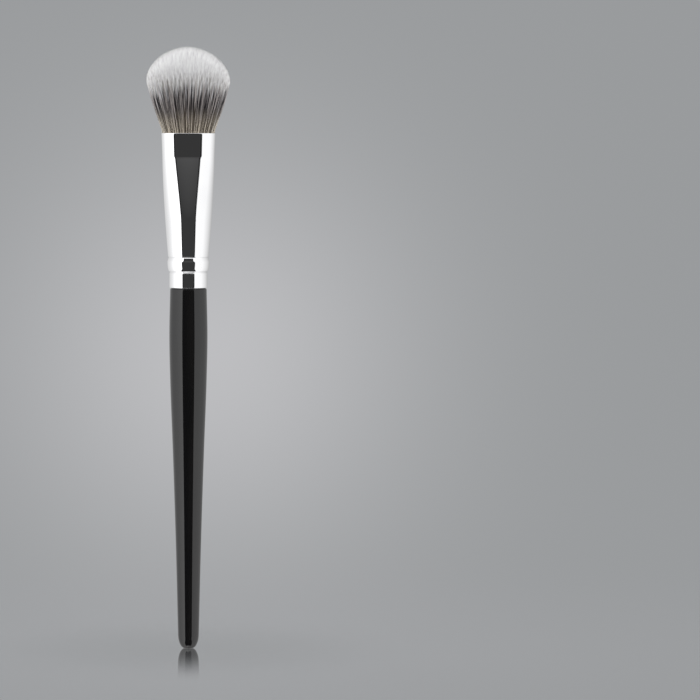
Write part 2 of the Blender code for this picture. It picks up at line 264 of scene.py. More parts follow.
def makeHandlingMarks():
    # Fine scuffs and a breath of haze, as a polished surface gets in use. Ring Stretch draws the
    # scuffs out round the brush, which is how a turned piece is polished.
    group, entry, leave = newGroup("handlingMarks", marksLook["inputs"], ("Roughness", "Height"))
    nodes = group.nodes
    place = objectPlace(nodes)
    split = nodes.new("ShaderNodeSeparateXYZ")
    join = nodes.new("ShaderNodeCombineXYZ")
    feed(split, 0, place)
    feed(join, "X", split.outputs["X"])
    feed(join, "Y", split.outputs["Y"])
    stretched = mathNode(nodes, "MULTIPLY", split.outputs["Z"], entry.outputs["Ring Stretch"])
    feed(join, "Z", stretched)
    scuffs = noiseFrom(nodes, join.outputs[0], entry.outputs["Grain Scale"], marksLook["scuffDetail"])
    haze = noiseFrom(nodes, place, *marksLook["haze"])
    hazeShare = spread(nodes, haze, *marksLook["hazeBetween"], 0.0, 1.0, smooth=True)
    scuffShare = spread(nodes, scuffs, *marksLook["scuffBetween"], 0.0, 1.0)
    added = mathNode(nodes, "MULTIPLY", hazeShare, entry.outputs["Haze"])
    added = mathNode(nodes, "MULTIPLY_ADD", scuffShare, entry.outputs["Scuffs"], added)
    rough = mathNode(nodes, "ADD", added, entry.outputs["Roughness"], clamp=True)
    feed(leave, "Roughness", rough)
    feed(leave, "Height", scuffs)
    return group


handlingMarks = makeHandlingMarks()


# Handle: turned wood under black lacquer

handle = {
    "buttFlat": 1.2,
    "buttRound": 4.6,
    "stations": ((4.6, 3.32), (31.5, 3.97), (63.1, 4.97), (85.3, 5.78), (98.5, 6.05), (113.95, 5.78)),
    "length": 114.2,
    "shoulderEdge": 0.25,
    "tenonRadius": 5.47,
    "tenonChamfer": 0.9,
    "grooves": (17.9, 9.1),       # down from the tenon's top
    "grooveWidth": 2.6,
    "grooveDepth": 0.5,
    "around": 128,
    "alongButt": 24,
    "alongBody": 150,
    "alongEdge": 6,
    "lacquer": (0.0036, 0.0036, 0.0040),
    "lacquerDusk": (0.0066, 0.0062, 0.0062),
    "lacquerIor": 2.5,            # with the grey tint, bright as lacquer face on and darker at its sides
    "lacquerTint": 0.26,
    "marks": {
        "Roughness": 0.045, "Haze": 0.035, "Scuffs": 0.03, "Ring Stretch": 5.0, "Grain Scale": 700.0,
    },
    "grainScale": (260.0, 260.0, 14.0),
    "grainDetail": 3.0,
    "grainBetween": (0.4, 0.7),
    "peel": (420.0, 1.0),
    "peelBump": (0.04, 0.00012),  # strength, and depth in metres, and so for the other bumps
}


def handleProfile():
    # From the butt's flat out over its elliptical rounding, up the body and round the tenon.
    quarter = np.linspace(0, np.pi / 2, handle["alongButt"])
    buttRadius = handle["stations"][0][1]
    rounding = np.stack([
        handle["buttFlat"] + (buttRadius - handle["buttFlat"]) * np.sin(quarter),
        handle["buttRound"] * (1 - np.cos(quarter)),
    ], axis=1)
    edge = handle["shoulderEdge"]
    heights = np.linspace(handle["buttRound"], handle["length"] - edge, handle["alongBody"])
    body = np.stack([smoothThrough(handle["stations"], heights), heights], axis=1)[1:]
    quarter = np.linspace(0, np.pi / 2, handle["alongEdge"])[1:]
    shoulder = np.stack([
        handle["stations"][-1][1] - edge * (1 - np.cos(quarter)),
        handle["length"] - edge * (1 - np.sin(quarter)),
    ], axis=1)
    top = handleBox[1][2] / mm
    radius, floor = handle["tenonRadius"], handle["tenonRadius"] - handle["grooveDepth"]
    tenon = [(radius, handle["length"])]
    for below in handle["grooves"]:
        low, high = top - below - handle["grooveWidth"] / 2, top - below + handle["grooveWidth"] / 2
        depth = handle["grooveDepth"]
        tenon += [(radius, low), (floor, low + depth), (floor, high - depth), (radius, high)]
    tenon += [(radius, top - handle["tenonChamfer"]), (radius - handle["tenonChamfer"], top)]
    return np.vstack([rounding, body, shoulder, tenon]) * mm


def makeLacquer():
    material, nodes, shader = newMaterial("blackLacquer")
    marks = placeGroup(nodes, handlingMarks, handle["marks"])
    feed(shader, "Roughness", marks.outputs["Roughness"])
    feed(shader, "IOR", handle["lacquerIor"])
    feed(shader, "Specular Tint", 3 * [handle["lacquerTint"]])
    place = objectPlace(nodes)
    drawnOut = nodes.new("ShaderNodeMapping")
    feed(drawnOut, "Scale", handle["grainScale"])
    feed(drawnOut, "Vector", place)
    grain = noiseFrom(nodes, drawnOut.outputs[0], 1.0, handle["grainDetail"])
    share = spread(nodes, grain, *handle["grainBetween"], 0.0, 1.0, smooth=True)
    colour = blendColours(nodes, share, handle["lacquer"], handle["lacquerDusk"])
    feed(shader, "Base Color", colour)
    peel = noiseFrom(nodes, place, *handle["peel"])
    feed(shader, "Normal", bumpFrom(nodes, peel, *handle["peelBump"]))
    return material


def makeHandle():
    points = turnProfile(handleProfile(), handle["around"])
    mesh = surfaceFromGrid("lacqueredHandle", points, closeColumns=True, capFirst=True, capLast=True)
    mesh.set_sharp_from_angle(angle=sharpAngle)
    addPiece("lacqueredHandle", mesh, makeLacquer(), "black_lacquer", "handle")
    print("handle:", len(mesh.polygons), "faces")


# Ferrule: chromed tube, round at its collar and pressed oval at its mouth

ferrule = {
    "wall": 0.38,
    "collarRadius": 6.0,
    "edgeBreak": 0.08,
    "beadFoot": 5.1,
    "beadRadius": 6.64,
    "beadRounding": 3.1,
    "beadTop": (9.35, 6.33),      # height, radius
    "beadBend": 0.2,              # share of the chamfer above the crest that bends into it
    "rings": (                    # turned lines: height of the middle, half width, depth
        (4.85, 0.27, 0.14),
        (9.58, 0.25, 0.14),
    ),
    "cone": (9.95, 6.45),
    "coneFullness": 1.5,
    "crease": 41.2,
    "creaseWidth": 8.22,
    "creaseDepth": 5.25,
    "pressRunOut": 20.0,
    "pressOnset": 1.1,
    "mouthWidth": 8.5,
    "mouthDepth": 5.36,
    "squareness": 2.25,
    "creaseBend": 0.12,
    "around": 192,
    "rowCounts": {                # of the mesh, from the lower edge up to the lip and down the bore
        "edge": 5, "collar": 8, "flank": 22, "shoulder": 8, "line": 15, "cone": 61, "rim": 16, "lip": 13,
        "bore": 36,
    },
    "plating": (0.93, 0.93, 0.94),
    "platingDusk": (0.80, 0.80, 0.82),
    "duskMost": 0.35,
    "marks": {
        "Roughness": 0.03, "Haze": 0.03, "Scuffs": 0.035, "Ring Stretch": 14.0, "Grain Scale": 800.0,
    },
    "scuffBump": (0.02, 0.00003),
    "cloud": (60.0, 2.0),
    "cloudBetween": (0.5, 0.8),
}


def ferruleShape(above):
    # Half width, half depth and squareness of the pressed cone. The width nears the crease's as a
    # power of the distance still to go, and the oval sets in as another power of it.
    toGo = np.clip((ferrule["crease"] - above) / (ferrule["crease"] - ferrule["cone"][0]), 0, 1)
    past = np.clip((above - ferrule["crease"]) / (mouthAbove - ferrule["crease"]), 0, 1)
    narrower = (ferrule["creaseWidth"] - ferrule["cone"][1]) * toGo ** ferrule["coneFullness"]
    width = ferrule["creaseWidth"] - narrower
    width = width + (ferrule["mouthWidth"] - ferrule["creaseWidth"]) * past
    pressed = np.clip(1 - (ferrule["crease"] - above) / ferrule["pressRunOut"], 0, 1)
    pressed = pressed ** ferrule["pressOnset"]
    depth = width + (ferrule["creaseDepth"] - ferrule["creaseWidth"]) * pressed
    mouthDepth = ferrule["creaseDepth"] + (ferrule["mouthDepth"] - ferrule["creaseDepth"]) * past
    depth = np.where(above > ferrule["crease"], mouthDepth, depth)
    return width, depth, 2 + (ferrule["squareness"] - 2) * pressed


def ovalRings(width, depth, squareness, heights, around):
    # Points at the reach of the superellipse |x/a|^n + |y/b|^n = 1 along evenly turned directions.
    angle = np.linspace(0, 2 * np.pi, around, endpoint=False)
    across, along = np.cos(angle)[None, :], np.sin(angle)[None, :]
    n = np.broadcast_to(squareness, width.shape)[:, None]
    reach = (np.abs(across) ** n + np.abs(along) ** n) ** (-1 / n)
    return np.stack([across * reach * width[:, None], along * reach * depth[:, None],
                     heights[:, None] + 0 * across], axis=-1)


mouthAbove = (ferruleBox[1][2] - ferruleBox[0][2]) / mm


def turnedRadius(above):
    # Radius of the round part: collar, quarter-oval bead, its shoulder down to the cone, and rings
    # turned into them as raised cosines.
    foot, rounding = ferrule["beadFoot"], ferrule["beadRounding"]
    rise = np.clip((above - foot) / rounding, 0, 1)
    bulge = ferrule["beadRadius"] - ferrule["collarRadius"]
    radius = ferrule["collarRadius"] + bulge * np.sqrt(1 - (1 - rise) ** 2)
    crest = foot + rounding
    fall = np.clip((above - crest) / (ferrule["beadTop"][0] - crest), 0, 1)
    bend = ferrule["beadBend"]
    chamfer = np.where(fall < bend, fall ** 2 / (2 * bend), fall - bend / 2) / (1 - bend / 2)
    radius = radius - (ferrule["beadRadius"] - ferrule["beadTop"][1]) * chamfer
    step = np.clip((above - ferrule["beadTop"][0]) / (ferrule["cone"][0] - ferrule["beadTop"][0]), 0, 1)
    radius = radius + (ferrule["cone"][1] - ferrule["beadTop"][1]) * step
    for middle, half, depth in ferrule["rings"]:
        away = np.clip(np.abs(above - middle) / half, 0, 1)
        radius = radius - depth * (0.5 + 0.5 * np.cos(np.pi * away))
    return radius


def ferruleRows():
    # Rows of (height, half width, half depth, squareness) up the outside, over the lip, down the
    # inside and round the broken lower edge.
    wall, edge, counts = ferrule["wall"], ferrule["edgeBreak"], ferrule["rowCounts"]
    foot, crest = ferrule["beadFoot"], ferrule["beadFoot"] + ferrule["beadRounding"]
    fine = [np.linspace(at - half, at + half, counts["line"]) for at, half, _ in ferrule["rings"]]
    flank = foot + ferrule["beadRounding"] * np.linspace(0, 1, counts["flank"]) ** 2
    shoulder = np.linspace(crest, ferrule["cone"][0], counts["shoulder"])
    collar = np.linspace(edge, foot, counts["collar"])
    heights = np.unique(np.concatenate([collar, flank, shoulder, *fine]).round(4))
    turns = np.linspace(0, np.pi / 2, counts["edge"])[:-1]
    radii = np.concatenate([ferrule["collarRadius"] - edge * (1 - np.sin(turns)), turnedRadius(heights)])
    heights = np.concatenate([edge * (1 - np.cos(turns)), heights])
    rows = [np.stack([heights, radii, radii, 2 + 0 * radii], axis=1)]

    def ovalRows(above, inset):
        width, depth, squareness = ferruleShape(above)
        rows.append(np.stack([above, width - inset, depth - inset, squareness], axis=1))

    start, crease, bend = ferrule["cone"][0], ferrule["crease"], ferrule["creaseBend"]
    ovalRows(start + (crease - bend - start) * np.linspace(0, 1, counts["cone"])[1:], 0)
    ovalRows(np.linspace(crease + bend, mouthAbove - wall / 2, counts["rim"])[:-1], 0)
    turns = np.linspace(0, np.pi, counts["lip"])
    width, depth, squareness = ferruleShape(np.full(counts["lip"], mouthAbove))
    inset = wall / 2 * (1 - np.cos(turns))
    heights = mouthAbove - wall / 2 * (1 - np.sin(turns))
    rows.append(np.stack([heights, width - inset, depth - inset, squareness], axis=1))
    ovalRows(np.linspace(mouthAbove - wall, start, counts["bore"]), wall)
    bore = ferrule["collarRadius"] - wall
    rows.append(np.array([(height, bore, bore, 2.0) for height in (start - wall, 0.0)]))
    return np.vstack(rows)


def makePlating():
    material, nodes, shader = newMaterial("chromePlating")
    feed(shader, "Metallic", 1.0)
    marks = placeGroup(nodes, handlingMarks, ferrule["marks"])
    feed(shader, "Roughness", marks.outputs["Roughness"])
    bump = bumpFrom(nodes, marks.outputs["Height"], *ferrule["scuffBump"])
    feed(shader, "Normal", bump)
    cloud = noiseFrom(nodes, objectPlace(nodes), *ferrule["cloud"])
    share = spread(nodes, cloud, *ferrule["cloudBetween"], 0.0, ferrule["duskMost"], smooth=True)
    colour = blendColours(nodes, share, ferrule["plating"], ferrule["platingDusk"])
    feed(shader, "Base Color", colour)
    return material


def makeFerrule():
    rows = ferruleRows()
    rings = ovalRings(rows[:, 1] * mm, rows[:, 2] * mm, rows[:, 3], rows[:, 0] * mm, ferrule["around"])
    rings[:, :, 2] += ferruleBox[0][2]
    mesh = surfaceFromGrid("pressedFerrule", rings, closeRows=True, closeColumns=True)
    addPiece("pressedFerrule", mesh, makePlating(), "chrome", "ferrule")
    print("ferrule:", len(mesh.polygons), "faces")


# Tuft: fine hair, splayed and slanted, with pale tips over a dark band and tan roots

tuft = {
    "hairs": 20000,
    "locks": 5,
    "rings": 8,
    "ringCrowding": 1.5,          # how much closer the rings stand towards the tip
    "heightRounds": 12,           # in which a tip's height settles, as its place depends on it
    "rootDepth": 2.6,             # where the hair enters its resin, below the mouth
    "clearance": 0.1,
    "splaySide": 0.349,
    "splayShort": 0.345,
    "splayTall": 0.365,
    "rimShort": 15.0,
    "rimShortReach": 9.8,
    "rimSlope": 0.391,
    "rimSag": 3.04,
    "rimSagWidth": 13.2,
    "domeHeight": 7.55,
    "domeFullness": 1.586,
    "domeSkew": 0.145,
    "tipCurl": 0.03,
    "curlFrom": 0.7,              # share of the hair below its curl
    "curlPower": 4,               # with which the curl grows towards the rim
    "hairRadius": 0.055,
    "tipRadius": 0.018,
    "thinFrom": 0.66,
    "thinPower": 1.3,
    "rootNudge": 0.35,            # against the spacing of the roots
    "clumpSize": (0.037, 0.030),  # as shares of the tuft's half width and half depth
    "clumpBlur": 0.1,
    "clumpDrift": 0.25,
    "clumpKinds": 8191,
    "clumpHash": (7919, 104729),  # primes that scatter the cells over these kinds
    "clumpStep": 0.618,           # from clump to clump along a row, so that neighbours always differ
    "clumpStepBlur": 0.07,
    "clumpPull": 0.55,
    "pullShares": (0.4, 1.0),     # of that pull, from hair to hair
    "clumpRise": 0.06,            # millimetres, like the three that follow
    "tipRise": 0.06,
    "shortBy": 2.4,
    "wave": 0.09,
    "waveTurn": (2, 7),           # radians from root to tip
    "ownKind": 0.2,               # share of hairs that don't take the kind of their clump
    "shortHairs": 0.2,
    "strayHairs": 0.012,
    "strayRise": 0.3,
    "straySway": 3.0,
    "tallBeyond": 0.15,           # where the short side's kinds give way to the others
    "endsBeyond": 0.86,
    "sideBlur": 0.14,
    "bandDrop": (1.2, 1.7, 2.0),  # millimetres of pale tip: short side, tall side, ends
    "normalLean": (0.15, 0.75),   # how far shading leans to the tuft's own surface, at root and tip
    "domeFacing": (0.0, -0.19, 0.75),
    "domeFrom": 9.0,              # heights between which that surface turns from its sides to its dome
    "domeFull": 21.0,
    "domePower": 1.5,
    "sideColumns": 48,            # kinds of hair of each side: short, tall, then the ends
    "columns": 144,
    "columnFill": 0.7,
    "bandSpan": 60.0,             # millimetres of strand that the map's height covers
    "footRoom": 0.002,            # share of the map's height that the closed foot takes
    "seed": 20,
}

hairColours = {
    "tip": ((0.585, 0.57, 0.595), (0.91, 0.915, 0.91)),
    "dark": (                     # short side, tall side, ends, whose lighter tints are painted light
        ((0.020, 0.017, 0.020), (0.53, 0.485, 0.47)),
        ((0.050, 0.047, 0.049), (0.66, 0.63, 0.60)),
        # painted light: the ends' tints are lighter, for the thin edges of the tuft that the light shines
        # through
        ((0.165, 0.155, 0.157), (0.55, 0.515, 0.51)),
    ),
    "root": (
        ((0.075, 0.058, 0.042), (0.68, 0.61, 0.515)),
        ((0.080, 0.068, 0.048), (0.80, 0.765, 0.68)),
        # painted light here too: the ends' root tints are lighter, for the thin edges that the light
        # shines through
        ((0.215, 0.19, 0.155), (0.83, 0.775, 0.68)),
    ),
    "tipLight": (0.0, 0.7),
    "darkLight": (0.42, 0.88),    # kinds between which the dark band's tint goes from dark to light
    "rootLight": (0.3, 0.7),
    "paleShift": (-5.2, 3.0),     # how far down the pale tips of a kind reach, beside the common edge
    "tallShift": 0.75,            # share of that on the tall side and at the ends
    "paleBlend": 1.9,
    "tanTop": (-3.0, -7.0),
    "tanFull": (-7.5, -13.5),
    "roughness": (0.42, 0.62),
    "starts": {                   # where the run of each through the kinds begins
        "pale": 0.41, "tan": 0.16, "dark": 0.03, "tip": 0.57, "rough": 0.87,
    },
    "specular": 0.35,
}


def splayedPlace(spot, above):
    # The oval at the mouth, widened in proportion to the height, and leaning a little to the tall side.
    inset = ferrule["wall"] + tuft["clearance"]
    rise = np.maximum(above, 0.0)
    side = ferrule["mouthWidth"] - inset + tuft["splaySide"] * rise
    middle = (tuft["splayTall"] - tuft["splayShort"]) / 2 * rise
    depth = ferrule["mouthDepth"] - inset + (tuft["splayTall"] + tuft["splayShort"]) / 2 * rise
    return spot[..., 0] * side, middle + spot[..., 1] * depth


def rimHeight(across, along):
    # A plane that slopes up to the tall side and sags towards both ends of the oval.
    slope = tuft["rimShort"] + tuft["rimSlope"] * (along + tuft["rimShortReach"])
    return slope - tuft["rimSag"] * (across / tuft["rimSagWidth"]) ** 2


def tipHeight(spot):
    # The rim's height plus a dome that falls to nothing at the edge of the disc.
    out = np.minimum(np.hypot(spot[:, 0], spot[:, 1]), 1.0)
    fullness = tuft["domeFullness"] - tuft["domeSkew"] * spot[:, 1]
    dome = tuft["domeHeight"] * (1 - out ** fullness) ** (1 / fullness)
    height = np.full(len(spot), tuft["rimShort"] + tuft["domeHeight"])
    for _ in range(tuft["heightRounds"]):
        height = rimHeight(*splayedPlace(spot, height)) + dome
    return height


def squaredSpot(spot):
    # The unit disc with its rim moved straight out to a superellipse.
    out = np.maximum(np.hypot(spot[..., 0], spot[..., 1]), tiny)[..., None]
    reach = (np.abs(spot / out) ** ferrule["squareness"]).sum(axis=-1, keepdims=True)
    return spot * np.maximum(reach, tiny) ** (-1 / ferrule["squareness"])


def plantRoots(draw):
    # A sunflower spiral over the unit disc, nudged at random, with the clump that each root is in and
    # the clump's place among the kinds of hair, from 0 to 1, which starts anew in each row.
    count, kinds = tuft["hairs"], tuft["clumpKinds"]
    order = np.arange(count)
    out = np.sqrt((order + 0.5) / count)
    turn = order * np.pi * (3 - np.sqrt(5))
    spot = np.stack([out * np.cos(turn), out * np.sin(turn)], axis=1)
    spot += draw.normal(0, tuft["rootNudge"] / np.sqrt(count), spot.shape)
    spot /= np.maximum(np.hypot(spot[:, 0], spot[:, 1]), 1.0)[:, None]
    cellSize = np.array(tuft["clumpSize"])
    cell = np.floor(spot / cellSize + draw.normal(0, tuft["clumpBlur"], spot.shape)).astype(int)
    clump = (cell * tuft["clumpHash"]).sum(axis=1) % kinds
    centre = (cell + 0.5 + draw.normal(0, tuft["clumpDrift"], (kinds, 2))[clump]) * cellSize
    kind = cell[:, 0] * tuft["clumpStep"] + draw.random(kinds)[cell[:, 1] % kinds]
    kind = (kind + draw.normal(0, tuft["clumpStepBlur"], kinds)[clump]) % 1
    return spot, clump, centre, kind, turn


def combHair(draw, spot, clump, centre):
    # Each hair runs up its own splayed line to the tip surface, leans into its clump on the way as
    # half a sine, waves a little and curls in at the end.
    count, kinds = tuft["hairs"], tuft["clumpKinds"]
    tip = tipHeight(spot)
    short = draw.random(count) < tuft["shortHairs"]
    shortBy = draw.random(count) * tuft["shortBy"]
    tip -= np.where(short, shortBy, np.abs(draw.normal(0, tuft["tipRise"], count)))
    tip += draw.normal(0, tuft["clumpRise"], kinds)[clump]
    stray = draw.random(count) < tuft["strayHairs"]
    tip += np.where(stray, draw.random(count) * tuft["strayRise"], 0.0)

    t = 1 - np.linspace(1, 0, tuft["rings"] + 1) ** tuft["ringCrowding"]
    above = -tuft["rootDepth"] + (tip[:, None] + tuft["rootDepth"]) * t
    lean = tuft["clumpPull"] * np.sin(np.pi * t)[None, :] * draw.uniform(*tuft["pullShares"], (count, 1))
    path = spot[:, None, :] * (1 - lean[..., None]) + centre[:, None, :] * lean[..., None]
    out = np.hypot(spot[:, 0], spot[:, 1])[:, None]
    nearTip = np.clip((t - tuft["curlFrom"]) / (1 - tuft["curlFrom"]), 0, 1)
    curl = 1 - tuft["tipCurl"] * out ** tuft["curlPower"] * nearTip
    across, along = splayedPlace(squaredSpot(path) * curl[..., None], above)
    sway = tuft["wave"] * np.where(stray, tuft["straySway"], 1.0)[:, None] * np.sin(np.pi * t)
    phase = draw.uniform(0, 2 * np.pi, (count, 1)) + t * draw.uniform(*tuft["waveTurn"], (count, 1))
    hairPath = np.stack([across + sway * np.sin(phase), along + sway * np.cos(phase), above], axis=-1)
    return hairPath, t, tip


def sortHair(draw, spot, clump, kind, tip):
    # A column of its side for each hair, mostly its clump's, and the height of its pale edge.
    count, kinds = tuft["hairs"], tuft["clumpKinds"]
    blur = draw.normal(0, tuft["sideBlur"], kinds)[clump]
    side = np.where(spot[:, 1] + blur > tuft["tallBeyond"], 1, 0)
    side = np.where(np.abs(spot[:, 0]) + blur > tuft["endsBeyond"], 2, side)
    kind = np.where(draw.random(count) < tuft["ownKind"], draw.random(count), kind)
    column = tuft["sideColumns"] * side + np.floor(kind * tuft["sideColumns"])
    bandAt = rimHeight(*splayedPlace(squaredSpot(spot), tip)) - np.array(tuft["bandDrop"])[side]
    return column, bandAt


def threeWays(twist):
    # Directions of the three sides of each hair.
    corner = twist[:, None] + np.arange(3) * 2 * np.pi / 3
    return np.stack([np.cos(corner), np.sin(corner), 0 * corner], axis=-1)[:, None]


def hairSurface(hairPath, t, twist):
    # A three-sided tube along each hair, closed by a point at the tip, towards which it thins.
    count, rings = hairPath.shape[:2]
    thin = np.clip((t[:-1] - tuft["thinFrom"]) / (1 - tuft["thinFrom"]), 0, 1)
    radius = tuft["hairRadius"] + (tuft["tipRadius"] - tuft["hairRadius"]) * thin ** tuft["thinPower"]
    tube = hairPath[:, :-1, None, :] + threeWays(twist) * radius[None, :, None, None]
    return np.concatenate([tube.reshape(count, (rings - 1) * 3, 3), hairPath[:, -1:, :]], axis=1)


def hairNormals(hairPath, t, twist):
    # The tube's own sideways normals, leaned towards the normal of the whole tuft: outwards from the
    # brush's axis, and more and more along the dome's own way up.
    count, rings = hairPath.shape[:2]
    across, along, above = np.moveaxis(hairPath, -1, 0)
    whole = np.stack([across / tuft["rimSagWidth"], along / tuft["rimShortReach"], 0 * above], axis=-1)
    upShare = np.clip((above - tuft["domeFrom"]) / (tuft["domeFull"] - tuft["domeFrom"]), 0, 1)
    whole += upShare[..., None] ** tuft["domePower"] * np.array(tuft["domeFacing"])
    whole /= np.maximum(np.linalg.norm(whole, axis=-1, keepdims=True), tiny)
    low, high = tuft["normalLean"]
    lean = (low + (high - low) * t)[None, :, None, None]
    mixed = threeWays(twist) * (1 - lean) + whole[:, :, None] * lean
    mixed = np.concatenate([mixed[:, :-1].reshape(count, (rings - 1) * 3, 3), whole[:, -1:]], axis=1)
    return mixed / np.linalg.norm(mixed, axis=-1, keepdims=True)


def hairFaces(count, rings):
    # Triangles of one tube, with its foot and its tip closed, repeated for every hair.
    number = np.arange(rings * 3).reshape(rings, 3)
    around = np.roll(number, -1, axis=1)
    low, high = number[:-1].ravel(), number[1:].ravel()
    lowNext, highNext = around[:-1].ravel(), around[1:].ravel()
    tip = np.full(3, rings * 3)
    single = np.concatenate([
        np.stack([low, lowNext, highNext], axis=1),
        np.stack([low, highNext, high], axis=1),
        np.stack([number[-1], around[-1], tip], axis=1),
        np.array([[2, 1, 0]]),
    ])
    return (single[None] + (np.arange(count) * (rings * 3 + 1))[:, None, None]).reshape(-1, 3)


def mapHair(mesh, faces, column, bandAt, heights):
    # Across the map, each hair keeps to one narrow column. Up the map runs the distance from the edge
    # of its pale tip, so all hairs of a column show the same bands.
    rings = heights.shape[1]
    corner = np.append(np.tile([-0.5, 0.0, 0.5], rings - 1), 0.0)
    across = (column[:, None] + 0.5 + tuft["columnFill"] * corner) / tuft["columns"]
    level = np.concatenate([np.repeat(heights[:, :-1], 3, axis=1), heights[:, -1:]], axis=1)
    up = 0.5 + (level - bandAt[:, None]) / tuft["bandSpan"]
    up[:, 1] += tuft["footRoom"]
    spots = np.stack([across, up], axis=-1).reshape(-1, 2)
    layer = mesh.uv_layers.new(name="OFBake")
    layer.data.foreach_set("uv", spots[faces.ravel()].astype(np.float32).ravel())


def makeHairColour():
    # Three bands up each hair, tan or brown, charcoal, then near white. Every tint and edge runs
    # through its range once over the kinds of a side, each from a start of its own.
    material, nodes, shader = newMaterial("dippedHair")
    feed(shader, "Specular IOR Level", hairColours["specular"])
    place = nodes.new("ShaderNodeUVMap")
    place.uv_map = "OFBake"
    split = nodes.new("ShaderNodeSeparateXYZ")
    feed(split, 0, place.outputs["UV"])
    column = mathNode(nodes, "MULTIPLY", split.outputs["X"], tuft["columns"])
    column = mathNode(nodes, "FLOOR", column)
    tall = mathNode(nodes, "GREATER_THAN", column, tuft["sideColumns"] - 0.5)
    # Columns of the ends, whose lighter tints are painted light
    ends = mathNode(nodes, "GREATER_THAN", column, 2 * tuft["sideColumns"] - 0.5)

    def chance(what, lowOut, highOut, low=0.0, high=1.0):
        start = hairColours["starts"][what]
        kind = mathNode(nodes, "MULTIPLY_ADD", column, 1 / tuft["sideColumns"], start)
        kind = mathNode(nodes, "FRACT", kind)
        return spread(nodes, kind, low, high, lowOut, highOut)

    def tints(share, pairs):
        # The two tints of the short side, the tall side and the ends, each mixed by the same share. The
        # ends' lighter tints are painted light, for the thin edges of the tuft that the light shines
        # through.
        mixed = [blendColours(nodes, share, *pair) for pair in pairs]
        return blendColours(nodes, ends, blendColours(nodes, tall, *mixed[:2]), mixed[2])

    height = mathNode(nodes, "SUBTRACT", split.outputs["Y"], 0.5)
    height = mathNode(nodes, "MULTIPLY", height, tuft["bandSpan"])
    ragged = mathNode(nodes, "MULTIPLY_ADD", tall, hairColours["tallShift"] - 1, 1.0)
    shift = chance("pale", *hairColours["paleShift"])
    shifted = mathNode(nodes, "MULTIPLY_ADD", ragged, shift, height)
    blend = hairColours["paleBlend"]
    pale = spread(nodes, shifted, -blend, blend, 0.0, 1.0, smooth=True)
    tanTop = chance("tan", *hairColours["tanTop"])
    tanFull = chance("tan", *hairColours["tanFull"])
    tan = spread(nodes, height, tanTop, tanFull, 0.0, 1.0, smooth=True)
    root = tints(chance("tan", 0, 1, *hairColours["rootLight"]), hairColours["root"])
    dark = tints(chance("dark", 0, 1, *hairColours["darkLight"]), hairColours["dark"])
    tip = blendColours(nodes, chance("tip", 0, 1, *hairColours["tipLight"]), *hairColours["tip"])
    lower = blendColours(nodes, tan, dark, root)
    feed(shader, "Base Color", blendColours(nodes, pale, lower, tip))
    feed(shader, "Roughness", chance("rough", *hairColours["roughness"]))
    return material


def makeTuft():
    draw = np.random.default_rng(tuft["seed"])
    spot, clump, centre, kind, twist = plantRoots(draw)
    hairPath, t, tip = combHair(draw, spot, clump, centre)
    column, bandAt = sortHair(draw, spot, clump, kind, tip)
    material = makeHairColour()
    lock = np.arange(tuft["hairs"]) % tuft["locks"]
    for number in range(tuft["locks"]):
        mine = lock == number
        points = hairSurface(hairPath[mine], t, twist[mine]) * mm
        points[..., 2] += mouthHeight
        faces = hairFaces(int(mine.sum()), tuft["rings"])
        mesh = meshFromFaces(f"hairLock_{number + 1}", points.reshape(-1, 3), faces)
        mapHair(mesh, faces, column[mine], bandAt[mine], hairPath[mine][:, :, 2])
        normals = hairNormals(hairPath[mine], t, twist[mine]).reshape(-1, 3)
        mesh.normals_split_custom_set_from_vertices(normals.astype(np.float32))
        addPiece(f"hairLock_{number + 1}", mesh, material, "bristle_hair", "bristles")
    print("tuft:", tuft["hairs"], "hairs in", tuft["locks"], "locks")


# Bound root of the tuft, inside the ferrule

root = {
    "length": 10.5,
    "clearance": 0.15,
    "waistDepth": 0.9,
    "bandFoot": 3.0,
    "band": 4.4,
    "around": 96,
    "resin": ((0.46, 0.30, 0.13), (0.30, 0.19, 0.08)),
}

resinLook = {
    "roughness": 0.3,
    "swirl": (350.0, 5.0, 0.6),   # scale, detail and distortion
    "swirlBetween": (0.35, 0.65),
    "bump": (0.1, 0.0001),
}


def makeResinLook(name, light, dark):
    material, nodes, shader = newMaterial(name)
    feed(shader, "Roughness", resinLook["roughness"])
    swirl = noiseFrom(nodes, objectPlace(nodes), *resinLook["swirl"])
    share = spread(nodes, swirl, *resinLook["swirlBetween"], 0.0, 1.0, smooth=True)
    feed(shader, "Base Color", blendColours(nodes, share, light, dark))
    feed(shader, "Normal", bumpFrom(nodes, swirl, *resinLook["bump"]))
    return material


def makeRoot():
    # The resin-bound slice that holds the hair: the inside of the ferrule with a waist for the thread.
    top = mouthAbove - tuft["rootDepth"]
    foot = top - root["length"]
    bandFoot, waist = foot + root["bandFoot"], root["waistDepth"]
    bandTop = bandFoot + root["band"]
    stations = np.array([(foot, 0.0), (bandFoot, 0.0), (bandFoot + waist, waist),
                         (bandTop - waist, waist), (bandTop, 0.0), (top, 0.0)])
    width, depth, squareness = ferruleShape(stations[:, 0])
    inset = ferrule["wall"] + root["clearance"] + stations[:, 1]
    heights = stations[:, 0] * mm
    rings = ovalRings((width - inset) * mm, (depth - inset) * mm, squareness, heights, root["around"])
    rings[:, :, 2] += ferruleBox[0][2]
    mesh = surfaceFromGrid("resinBoundRoot", rings, closeColumns=True, capFirst=True, capLast=True)
    mesh.set_sharp_from_angle(angle=sharpAngle)
    look = makeResinLook("resinBoundRoot", *root["resin"])
    addPiece("resinBoundRoot", mesh, look, "bristle_hair", "bristles")


# Hidden pieces that stay as the solids have them

thread = {
    "roughness": 0.85,
    "plyScale": 900.0,
    "plyDistortion": 1.5,
    "plies": ((0.46, 0.42, 0.34), (0.72, 0.68, 0.58)),
    "bump": (0.5, 0.00008),
}

castResin = {"colours": ((0.52, 0.34, 0.14), (0.33, 0.20, 0.08))}

glue = {"colours": ((0.62, 0.55, 0.40), (0.48, 0.41, 0.28))}


